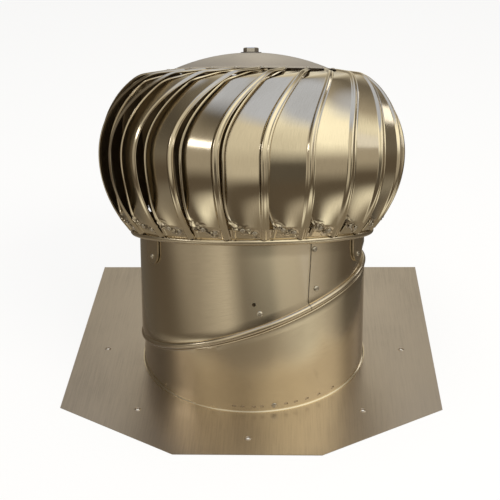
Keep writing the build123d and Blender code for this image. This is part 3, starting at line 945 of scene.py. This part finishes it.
@dataclass
class TopCap:
    """The shallow spun dome over the blades' tops, with a flat middle and a sloping rim."""

    head: Axes
    line: Meridian
    radius: float = 120.0
    dome_radius: float = 263.0
    dome_steps: int = 26
    flat_radius: float = 17.0
    hole_radius: float = 5.2
    sheet: float = 0.8
    seat_gap: float = 0.3
    rib_rise: float = 0.506
    blend: float = 3.5
    rim_inset: float = 0.4
    rim_ease: float = 0.1

    def __post_init__(self) -> None:
        """Work out the heights of the seat and of the dome's centre."""
        rise = (self.rib_rise + self.seat_gap) / math.cos(self.line.slope)
        self.seat = self.line.top_radius
        self.seat_height = self.line.at(self.line.length)[1] + rise
        self.centre = self.seat_height - math.sqrt(self.dome_radius ** 2 - self.seat ** 2)

    def rim_at(self, radius: float) -> float:
        """Height of the sloping rim's underside at a radius."""
        return self.seat_height - (radius - self.seat) * math.tan(self.line.slope)

    def dome_at(self, radius: float) -> float:
        """Height of the dome's underside at a radius."""
        return self.centre + math.sqrt(self.dome_radius ** 2 - radius * radius)

    def build(self, finish: Finish) -> None:
        """Make the cap in place of its node.

        Args:
            finish: The cap's material.
        """
        dome = [(r, self.dome_at(r)) for r in np.linspace(self.flat_radius, self.seat, self.dome_steps)]
        blend, low = self.seat + self.blend, self.rim_at(self.radius)
        under = [(self.hole_radius, self.dome_at(self.flat_radius)), *dome, (blend, self.rim_at(blend)),
                 (self.radius - self.rim_inset, low)]
        over = [(r, h + self.sheet) for r, h in under]
        rim = [(self.radius, low + self.rim_ease), (self.radius, low + self.sheet - self.rim_ease)]
        made = self.head.lathe("spun_top_cap", [*under, *rim, *over[::-1]], finish)
        made.data.flip_normals()
        adopt(made, Body.TURBINE, "cap", "top_cap")


@dataclass
class Collar:
    """The two-piece collar: a lower and an upper gore that meet at the inclined swivel seam."""

    layout: Layout
    radius: float = 153.0
    sheet: float = 0.8
    skirt_base: float = 0.8
    skirt_top: float = 16.8
    upper_skirt_base: float = 70.0
    top: float = 88.0
    seam_skirt: float = 8.0
    bead_radius: float = 4.0
    bead_hook: float = -80.0
    flange_reach: float = 2.4
    swivel_gap: float = 0.5
    foot_width: float = 3.0
    foot_flat: float = 0.6
    foot_ease: float = 0.2
    foot_rises: Pair = (2.4, 2.6)
    rib_drop: float = 6.2
    rib_width: float = 2.6
    rib_height: float = 1.2
    upper_lap: float = 31.3
    lower_lap: float = -28.0
    lap_taper: float = 15.0
    lap_columns: tuple[float, ...] = (-0.6, -0.04, 0.0, 0.2)
    slot_angles: tuple[float, ...] = (-48, -7.5, -3.5, 2, 6, 18, 23, 29, 36, 45)
    slot_height: float = 10.0
    slot_length: float = 5.6
    slot_width: float = 3.4
    hole_angle: float = 3.0
    hole_height: float = 7.0
    hole_radius: float = 2.4
    punch_depth: float = 6.0
    columns: int = 300
    crease: float = 28.0

    def __post_init__(self) -> None:
        """Work out the seam's radius."""
        self.seam_radius = self.radius * (1 + 1 / math.cos(math.radians(self.layout.collar_cut))) / 2

    def turns(self, lap: float) -> tuple[Array, Array]:
        """Angles round the collar, close together at the lap's edge, and how far the lap stands proud there.

        Args:
            lap: Angle of the lap's edge from the front.

        Returns:
            The angles in radians from the right, and the lap's height at each.
        """
        edge = lap - 90
        even = edge + np.linspace(0, 360, self.columns, endpoint=False)[1:]
        degrees = np.concatenate([edge + np.array(self.lap_columns), even])
        into = degrees - edge
        fall = np.sin(np.radians(self.lap_taper - into)) / math.sin(math.radians(self.lap_taper))
        proud = np.where((into >= 0) & (into < self.lap_taper), self.sheet * fall, 0.0)
        return np.radians(degrees), proud

    def skin(self, name: str, rings: Sequence[Array], finish: Finish) -> Piece:
        """Close a wall from its rings, in order round the section.

        Args:
            name: The piece's name.
            rings: Points of each ring, all with the same angles.
            finish: The material.

        Returns:
            The new object.
        """
        around = np.linspace(0, 2 * math.pi * self.radius, len(rings[0]))
        along = run_lengths(np.array([ring[0] for ring in rings]))
        return wrap(name, rings, around, along, finish, self.crease)

    def pierce(self, wall: Piece, axes: Axes, seats: Sequence[tuple[float, float, float]], length: float,
               width: float) -> None:
        """Punch round-ended holes through a wall.

        Args:
            wall: The wall.
            axes: The frame that the holes are placed in.
            seats: Angle, radius and height of each hole's middle.
            length: The holes' length round the wall.
            width: Their width.
        """
        half = width / 2
        ends = [(side * (length / 2 - half) + half * math.cos(t), half * math.sin(t))
                for side, start in ((1, -0.5), (-1, 0.5)) for t in np.linspace(start, start + 1, 9) * math.pi]
        count = len(ends)
        faces = [tuple(reversed(range(count))), tuple(range(count, 2 * count))]
        faces += [(k, (k + 1) % count, count + (k + 1) % count, count + k) for k in range(count)]
        shapes = []
        for angle, radius, height in seats:
            middle = axes.point(angle, radius, height)
            out, along = axes.radial(angle), axes.around(angle)
            upright = np.cross(out, along)
            points = [middle + out * depth + along * x + upright * y
                      for depth in (-self.punch_depth, self.punch_depth) for x, y in ends]
            shapes.append((np.array(points), faces))
        punch = add_object("punch", *merged(shapes), wall.data.materials[0])
        cut = wall.modifiers.new("punched", "BOOLEAN")
        cut.operation, cut.solver, cut.object = "DIFFERENCE", "EXACT", punch
        bpy.context.view_layer.update()
        pierced = bpy.data.meshes.new_from_object(wall.evaluated_get(bpy.context.evaluated_depsgraph_get()))
        wall.modifiers.clear()
        wall.data = pierced
        smooth(pierced, self.crease)
        bpy.data.objects.remove(punch)

    def seam_rings(self, turns: Array, profile: Sequence[Pair], proud: Array | float = 0.0) -> list[Array]:
        """Rings about the swivel axis, from radii beyond the seam's and heights along the axis."""
        base = self.seam_radius + proud
        return [self.layout.seam.ring(turns, base + extra, height) for extra, height in profile]

    def build_lower(self, finish: Finish) -> None:
        """Make the lower gore in place of its node.

        Args:
            finish: The collar's material.
        """
        turns, proud = self.turns(self.lower_lap)
        base, sheet = self.layout.base, self.sheet
        low, high = (rise * sheet for rise in self.foot_rises)
        foot = [(self.foot_width, 0.0), (self.foot_width, sheet), (sheet + self.foot_flat, sheet),
                (self.foot_ease, low)]
        outer = [base.ring(turns, self.radius + extra, self.skirt_base + height) for extra, height in foot]
        outer.append(base.ring(turns, self.radius + proud, self.skirt_base + high))
        bend = base.ring(turns, self.radius + proud, self.skirt_top)
        rib = [(self.rib_height * math.sin(math.pi * way), -self.rib_drop + self.rib_width * (way - 0.5))
               for way in np.linspace(0, 1, 7)]
        edge = [(0.0, -sheet), (self.flange_reach, -sheet), (self.flange_reach, 0.0), (-sheet, 0.0)]
        start = self.seam_rings(turns, [(0.0, -self.seam_skirt)], proud)[0]
        wall = between(bend, start, 12)
        inner = self.radius - sheet
        inner_bend = base.ring(turns, inner, self.skirt_top)
        inner_start = self.seam_rings(turns, [(-sheet, -self.seam_skirt)])[0]
        inside = between(inner_start, inner_bend, 6)
        rings = [*outer, *wall, *self.seam_rings(turns, [*rib, *edge]), *inside,
                 base.ring(turns, inner, self.skirt_base)]
        made = self.skin("lower_collar_skin", rings, finish)
        seats = [(angle, self.radius, self.slot_height) for angle in self.slot_angles]
        self.pierce(made, base, seats, self.slot_length, self.slot_width)
        adopt(made, Body.BASE, "collar", "lower_collar")

    def build_upper(self, finish: Finish) -> None:
        """Make the upper gore, with its rolled bead and a painted line of shadow and grime along its lap, in
        place of its node.

        Args:
            finish: The collar's material.
        """
        turns, proud = self.turns(self.upper_lap)
        head, sheet = self.layout.head, self.sheet
        middle, inner = (0.0, -sheet / 2), self.radius - sheet
        outer_bead = arc(middle, self.bead_radius, self.bead_hook, 90, 14)
        inner_bead = arc(middle, self.bead_radius - sheet, 90, self.bead_hook, 10)
        start = self.seam_rings(turns, [(0.0, self.seam_skirt)], proud)[0]
        bend = head.ring(turns, self.radius + proud, self.upper_skirt_base)
        wall = between(start, bend, 14)
        top = [head.ring(turns, self.radius + proud, self.top), head.ring(turns, inner, self.top)]
        inner_bend = head.ring(turns, inner, self.upper_skirt_base)
        inner_start = self.seam_rings(turns, [(-sheet, self.seam_skirt)])[0]
        inside = between(inner_bend, inner_start, 6)
        hook = [(-sheet, self.swivel_gap), (0.0, self.swivel_gap)]
        rings = [*self.seam_rings(turns, outer_bead), *wall, *top, *inside,
                 *self.seam_rings(turns, [*hook, *inner_bead])]
        made = self.skin("upper_collar_skin", rings, finish)
        # Painted shadow and grime: a dark line at the columns by the lap's edge.
        shade = np.zeros((len(turns), len(rings)))
        shade[1:3] = 1.0
        set_shade_and_grime(made, shade)
        size = 2 * self.hole_radius
        self.pierce(made, head, [(self.hole_angle, self.radius + sheet, self.hole_height)], size, size)
        adopt(made, Body.COLLAR, "collar", "upper_collar")


@dataclass
class RivetKit:
    """Domed rivets with a dimple where the mandrel broke off."""

    axes: Axes
    head_radius: float = 3.6
    head_height: float = 1.6
    shank_radius: float = 2.2
    brim: float = 0.12
    dome_end: float = 1.12
    dimple: Levels = ((0.34, 0.9), (0.26, 0.55), (0.1, 0.5))
    steps: int = 20
    spacing: float = 14.0
    crease: float = 40.0

    def shape(self, scale: float, shank: float) -> Shape:
        """One rivet, standing on the origin with its head up.

        Args:
            scale: Its head's size against the usual one.
            shank: Length of its shank below the head.

        Returns:
            Its points and faces.
        """
        r, h, s = (scale * size for size in (self.head_radius, self.head_height, self.shank_radius))
        rise = [(r * math.cos(a), h * (self.brim + (1 - self.brim) * math.sin(a)))
                for a in np.linspace(0, self.dome_end, 7)]
        dimple = [(out * r, up * h) for out, up in self.dimple]
        profile = [(s, -shank), (s, 0.0), (r, 0.0), *rise, *dimple]
        rows = np.stack([self.axes.ring(round_turns(self.steps), a, z) for a, z in profile], axis=1)
        count = len(profile)
        faces = grid_faces(self.steps, count, True, False)
        faces.append(tuple(i * count + count - 1 for i in range(self.steps)))
        faces.append(tuple(i * count for i in reversed(range(self.steps))))
        return rows.reshape(-1, 3), faces

    def build(self, name: str, seats: Sequence[Seat], finish: Finish, scale: float = 1.0,
              shank: float = 1.0) -> Piece:
        """Set a rivet on each seat, as one object.

        Args:
            name: The object's name.
            seats: Place and outward direction of each.
            finish: The material.
            scale: The heads' size against the usual one.
            shank: Length of the shanks.

        Returns:
            The new object.
        """
        points, faces = self.shape(scale, shank)
        shapes = []
        for place, out in seats:
            turn = np.array(Vector(out).to_track_quat("Z", "Y").to_matrix())
            shapes.append((points @ turn.T + place, faces))
        return add_object(name, *merged(shapes), finish, crease=self.crease)

    def seats_of(self, node: str, axes: Axes) -> list[Seat]:
        """Seats of the plain rivets in a node of the frame.

        Args:
            node: The node's name.
            axes: The frame whose upright they point away from.

        Returns:
            Place and outward direction under each rivet's head.
        """
        left = np.array([v.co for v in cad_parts[node].data.vertices]) / MM
        seats = []
        while len(left):
            near = np.linalg.norm(left - left[0], axis=1) < self.spacing
            own, left = left[near], left[~near]
            middle = own.mean(axis=0)
            out = axes.outward(middle)
            highest = ((own - middle) @ out).max()
            seats.append((middle + out * (highest - self.head_height), out))
        return seats


@dataclass
class Rivets:
    """Every rivet of the vent."""

    layout: Layout
    blades: BladeSet
    cap: TopCap
    plain_shank: float = 3.0
    foot_scale: float = 0.95
    rim_scale: float = 0.7
    rim_radius: float = 113.5
    rim_back: float = 6.0

    def __post_init__(self) -> None:
        self.kit = RivetKit(self.layout.base)

    def round_head(self, place: Array, out: Array) -> list[Seat]:
        """A seat turned from blade to blade round the head."""
        head, turns = self.layout.head, [n * self.blades.pitch for n in range(self.blades.count)]
        return [(head.turned(place, turn), head.turn(turn) @ out) for turn in turns]

    def foot_seats(self) -> list[Seat]:
        """Two seats on each blade's foot.

        Returns:
            Place and outward direction of each.
        """
        seats = []
        for across, length in self.blades.rivet_places:
            edge, inwards, normal, _, _ = self.blades.section(length)
            seats += self.round_head(edge + inwards * across, normal)
        return seats

    def rim_seats(self) -> list[Seat]:
        """One seat above each blade's top on the cap's rim.

        Returns:
            Place and outward direction of each.
        """
        head, slope = self.layout.head, self.cap.line.slope
        angle = self.blades.section(self.blades.line.length)[4] - self.rim_back
        out = head.radial(angle) * math.sin(slope) + head.up * math.cos(slope)
        height = self.cap.rim_at(self.rim_radius) + self.cap.sheet
        return self.round_head(head.point(angle, self.rim_radius, height), out)

    def build(self, finish: Finish) -> None:
        """Make every group of rivets.

        Args:
            finish: The rivets' material.
        """
        groups = (
            ("base_rivets", Body.BASE, self.layout.base),
            ("upper_rivets", Body.COLLAR, self.layout.head),
            ("brace_rivets", Body.COLLAR, self.layout.head),
        )
        for node, body, axes in groups:
            seats = self.kit.seats_of(node, axes)
            made = self.kit.build(f"domed_{node}", seats, finish, shank=self.plain_shank)
            adopt(made, body, "rivet", node)
        feet = self.kit.build("blade_foot_rivets", self.foot_seats(), finish, self.foot_scale)
        adopt(feet, Body.TURBINE, "rivet")
        rim = self.kit.build("cap_rim_rivets", self.rim_seats(), finish, self.rim_scale)
        adopt(rim, Body.TURBINE, "rivet")


@dataclass
class NailRims:
    """The raised rims that the punch left round the flashing's nail holes."""

    axes: Axes
    count: int = 8
    circle: float = 208.0
    base: float = 0.8
    profile: Levels = ((2.55, -0.2), (2.6, 0.5), (2.9, 0.85), (3.4, 0.9), (3.9, 0.6), (4.3, 0.2), (4.6, -0.2))
    steps: int = 28
    crease: float = 70.0

    def build(self, finish: Finish) -> None:
        """Make every rim as one piece on the flashing.

        Args:
            finish: The rims' material.
        """
        turns = round_turns(self.steps)
        rim, faces = closed_shape([self.axes.ring(turns, r, self.base + h) for r, h in self.profile])
        middles = self.axes.ring(round_turns(self.count), self.circle, 0.0)
        points, faces = merged([(rim + middle, faces) for middle in middles])
        made = add_object("nail_hole_rims", points, faces, finish, crease=self.crease)
        adopt(made, Body.BASE, "flashing")


@dataclass
class Studio:
    """A pale floor, a white background, soft lamps, a room to reflect and the camera of the photograph."""

    camera_place: Triple = (0.0638, -1.3630, 0.8681)
    yaw: float = -0.0483
    pitch: float = 0.4791
    roll: float = -0.0234
    focal_pixels: float = 1135.0
    frame_pixels: float = 500.0
    sensor: float = 36.0
    aim: Triple = (0.0, 0.05, 0.25)
    fill: float = 0.55
    fill_colour: Colour = (1.0, 0.97, 0.92)
    paper: Colour = (0.86, 0.86, 0.85)
    floor_half: float = 30000.0
    floor_height: float = -0.3
    floor_glow: float = 0.82
    covered_radius: float = 0.23
    covered_edge: float = 0.001
    room_radius: float = 4.0
    room_rows: int = 24
    room_columns: int = 48
    pane_inset: float = 0.2
    pane_colour: Colour = (1.0, 0.98, 0.94)
    warm_green: Pair = (0.86, 0.11)
    warm_blue: Pair = (0.68, 0.14)
    floor_light: Colour = (0.22, 0.187, 0.14)
    skirting: Colour = (0.10, 0.08, 0.058)
    ceiling: Colour = (0.54, 0.60, 0.76)
    ceiling_lean: float = 0.15
    layer_edges: Levels = ((-36, -26), (-22, -14), (-6, 4), (16, 34), (42, 51))
    ground_light: Levels = (
        (-180, 0.3), (-150, 0.12), (-108, 0.12), (-86, 0.26), (-66, 0.6), (-50, 0.95), (-34, 0.4), (-8, 0.3),
        (20, 0.45), (45, 0.85), (62, 1.0), (88, 0.6), (110, 0.1), (155, 0.08), (180, 0.3))
    wall_light: Levels = (
        (-180, 0.8), (-152, 0.12), (-105, 0.1), (-76, 0.36), (-56, 0.34), (-26, 0.6), (-10, 0.14), (18, 0.05),
        (28, 0.3), (45, 0.4), (75, 0.4), (108, 0.14), (150, 0.16), (180, 0.8))
    window_light: Levels = (
        (-180, 0.72), (-150, 0.2), (-110, 0.06), (-85, 0.16), (-68, 0.4), (-42, 0.75), (-10, 0.45), (26, 1.1),
        (58, 1.2), (92, 1.1), (114, 0.4), (152, 0.15), (180, 0.72))
    panes: tuple[tuple[Pair, Pair, float], ...] = (
        ((-84, -64), (23, 29), 3.0), ((124, 140), (10, 22), 1.5), ((54, 100), (16, 26), 0.85))
    lamps: tuple[tuple[str, Triple, Pair, float, Colour], ...] = (
        ("key_box", (1.1, -1.0, 1.75), (1.3, 0.7), 26.0, (1.0, 0.93, 0.80)),
        ("top_box", (-0.2, 0.3, 2.2), (1.6, 1.2), 18.0, (1.0, 0.97, 0.92)))

    def camera(self) -> None:
        """Place the camera where the photograph was taken."""
        rise = Vector((0, 0, 1))
        ahead = Vector((math.sin(self.yaw), math.cos(self.yaw), 0))
        side = Vector((math.cos(self.yaw), -math.sin(self.yaw), 0))
        look = ahead * math.cos(self.pitch) - rise * math.sin(self.pitch)
        up = ahead * math.sin(self.pitch) + rise * math.cos(self.pitch)
        right = side * math.cos(self.roll) + up * math.sin(self.roll)
        upright = up * math.cos(self.roll) - side * math.sin(self.roll)
        data = bpy.data.cameras.new("camera")
        data.sensor_width = self.sensor
        data.lens = self.focal_pixels / self.frame_pixels * self.sensor
        made = bpy.data.objects.new("camera", data)
        bpy.context.scene.collection.objects.link(made)
        turn = Matrix((right, upright, -look)).transposed().to_4x4()
        made.matrix_world = Matrix.Translation(self.camera_place) @ turn
        bpy.context.scene.camera = made

    def lamp(self, name: str, place: Triple, size: Pair, power: float, colour: Colour) -> None:
        """Add a soft box that points at the vent.

        Args:
            name: The lamp's name.
            place: Where it hangs.
            size: Its width and height.
            power: Its power in watts.
            colour: Its colour.
        """
        data = bpy.data.lights.new(name, "AREA")
        data.shape = "RECTANGLE"
        data.size, data.size_y = size
        data.energy = power
        data.color = colour
        made = bpy.data.objects.new(name, data)
        made.location = place
        made.rotation_euler = (Vector(self.aim) - Vector(place)).to_track_quat("-Z", "Y").to_euler()
        made.visible_glossy = False
        bpy.context.scene.collection.objects.link(made)

    def world(self) -> None:
        """White to the camera and in reflections, and a plain soft fill for everything else."""
        made = Shader(bpy.data.worlds.new("studio"))
        bpy.context.scene.world = made.owner
        path = made.node("ShaderNodeLightPath").outputs
        seen = made.math("MAXIMUM", path["Is Camera Ray"], path["Is Glossy Ray"])
        seen = made.math("MAXIMUM", seen, path["Is Transmission Ray"])
        fill = made.light("ShaderNodeBackground", (*self.fill_colour, 1.0), self.fill)
        white = made.light("ShaderNodeBackground", WHITE, 1.0)
        made.close(made.blend_surfaces(fill, white, seen), "ShaderNodeOutputWorld")

    def floor(self) -> None:
        """A pale floor that stays white to the camera and keeps a soft shadow."""
        made = new_shader("pale_floor")
        paper = made.fed("ShaderNodeBsdfDiffuse", {"Color": (*self.paper, 1.0)}).outputs[0]
        glow = made.light("ShaderNodeEmission", WHITE, 1.0)
        place = made.node("ShaderNodeNewGeometry").outputs["Position"]
        away = made.fed("ShaderNodeVectorMath", {0: place}, operation="LENGTH").outputs["Value"]
        covered = self.covered_radius
        clear = made.spread(away, 0.0, self.floor_glow, covered, covered + self.covered_edge)
        seen = made.node("ShaderNodeLightPath").outputs["Is Camera Ray"]
        finish = made.close(made.blend_surfaces(paper, glow, made.math("MULTIPLY", seen, clear)))
        corners = [(x * self.floor_half, y * self.floor_half, self.floor_height)
                   for x, y in ((-1, -1), (1, -1), (1, 1), (-1, 1))]
        floor = add_object("studio_floor", np.array(corners), [(0, 1, 2, 3)], finish)
        floor.visible_glossy = False

    def glows(self, made: Shader, share: Socket, stops: Levels) -> Socket:
        """Warm light round the room from its level at a few bearings, whiter where it is brighter.

        Args:
            made: The room's shader.
            share: The bearing as a share of the turn, from the back by the left.
            stops: Bearings in degrees from the front to the right, and the level at each.

        Returns:
            The light's colour.
        """
        colours = []
        for bearing, level in stops:
            white = min(1.0, level)
            green, blue = (level * (warm + rise * white) for warm, rise in (self.warm_green, self.warm_blue))
            colours.append(((bearing + 180) / 360, (level, green, blue)))
        return made.ramp(share, colours)

    def room_finish(self) -> Finish:
        """The room's glow: floor, low light, skirting, walls, windows and ceiling, one above the other.

        Returns:
            The room's material.
        """
        made = new_shader("room_light")
        place = made.node("ShaderNodeTexCoord").outputs["Object"]
        away = made.fed("ShaderNodeVectorMath", {0: place}, operation="NORMALIZE").outputs[0]
        right, back, up = made.fed("ShaderNodeSeparateXYZ", {0: away}).outputs
        bearing = made.math("ARCTAN2", right, made.math("MULTIPLY", back, -1.0))
        share = made.spread(bearing, 0.0, 1.0, -math.pi, math.pi)
        layers = (
            (self.glows(made, share, self.ground_light), up),
            ((*self.skirting, 1.0), up),
            (self.glows(made, share, self.wall_light), up),
            (self.glows(made, share, self.window_light), up),
            ((*self.ceiling, 1.0), made.blend(up, back, self.ceiling_lean)),
        )
        colour = (*self.floor_light, 1.0)
        for (layer, height), edges in zip(layers, self.layer_edges):
            way = made.spread(height, 0.0, 1.0, *(math.sin(math.radians(edge)) for edge in edges))
            colour = made.blend_colours(colour, layer, way)
        return made.close(made.light("ShaderNodeEmission", colour, 1.0))

    def room(self) -> None:
        """A room all round, out of the camera's sight, for the metal to reflect."""
        points = [(math.cos(e) * math.cos(t), math.cos(e) * math.sin(t), math.sin(e))
                  for e in np.linspace(-0.499, 0.499, self.room_rows) * math.pi
                  for t in round_turns(self.room_columns)]
        faces = grid_faces(self.room_rows, self.room_columns, False, True)
        size = self.room_radius / MM
        self.reflected_only(add_object("studio_room", np.array(points) * size, faces, self.room_finish()))

    def reflected_only(self, backdrop: Piece) -> None:
        """Let only reflections see a piece of the room.

        Args:
            backdrop: The piece.
        """
        backdrop.visible_camera = False
        backdrop.visible_diffuse = False
        backdrop.visible_shadow = False
        backdrop.visible_transmission = False

    def pane(self, number: int, bearings: Pair, rises: Pair, level: float) -> None:
        """A bright window pane in the room's wall.

        Args:
            number: The pane's number.
            bearings: Its two sides, in degrees from the front to the right.
            rises: Its lower and upper edges, in degrees above the floor.
            level: How bright it is.
        """
        made = new_shader(f"window_pane_{number}")
        finish = made.close(made.light("ShaderNodeEmission", (*self.pane_colour, 1.0), level))
        (left, right), (low, high) = np.radians(bearings), np.radians(rises)
        corners = np.array([(math.sin(b) * math.cos(e), -math.cos(b) * math.cos(e), math.sin(e))
                            for b, e in ((left, low), (right, low), (right, high), (left, high))])
        size = (self.room_radius - self.pane_inset) / MM
        self.reflected_only(add_object(f"studio_pane_{number}", corners * size, [(0, 1, 2, 3)], finish))

    def build(self) -> None:
        """Set up the whole studio."""
        self.camera()
        self.world()
        self.floor()
        self.room()
        for number, pane in enumerate(self.panes, 1):
            self.pane(number, *pane)
        for lamp in self.lamps:
            self.lamp(*lamp)
        bpy.context.scene.view_settings.view_transform = "Standard"


def dress_plain_nodes(plate: Finish) -> None:
    """Give the nodes whose shapes stay as they are their finishes.

    Args:
        plate: The flashing's material.
    """
    brace, steel, race = BRACE.material(), STEEL.material(), RACE.material()
    finishes = {
        "base_flashing": plate, "seal_washer": SEAL.material(), "bearing_hub": steel, "shaft": steel,
        "shaft_nut": NUT.material(), "shoulder_washer": steel, "retaining_ring": steel,
        **{f"brace_arm_{n}": brace for n in (1, 2, 3)},
        **{f"{end}_bearing_{part}": race for end in ("lower", "upper") for part in ("inner", "outer")},
    }
    for node, finish in finishes.items():
        dress(node, finish)


def main() -> None:
    """Build every sub-assembly, then the studio."""
    logging.basicConfig(level=logging.INFO, format="%(name)s: %(message)s")
    layout, line = Layout(), Meridian()
    blades, cap, collar = BladeSet(layout.head, line), TopCap(layout.head, line), Collar(layout)
    blades.build(BLADE.material(), SHADED_BLADE_BACK.material())
    TurbineRing(layout.head, blades).build(RING.material())
    cap.build(CAP.material())
    sheet = COLLAR.material()
    collar.build_lower(sheet)
    collar.build_upper(sheet)
    Rivets(layout, blades, cap).build(RIVET.material())
    plate = FLASHING.material()
    NailRims(layout.base).build(plate)
    dress_plain_nodes(plate)
    Studio().build()


if __name__ == "__main__":
    main()
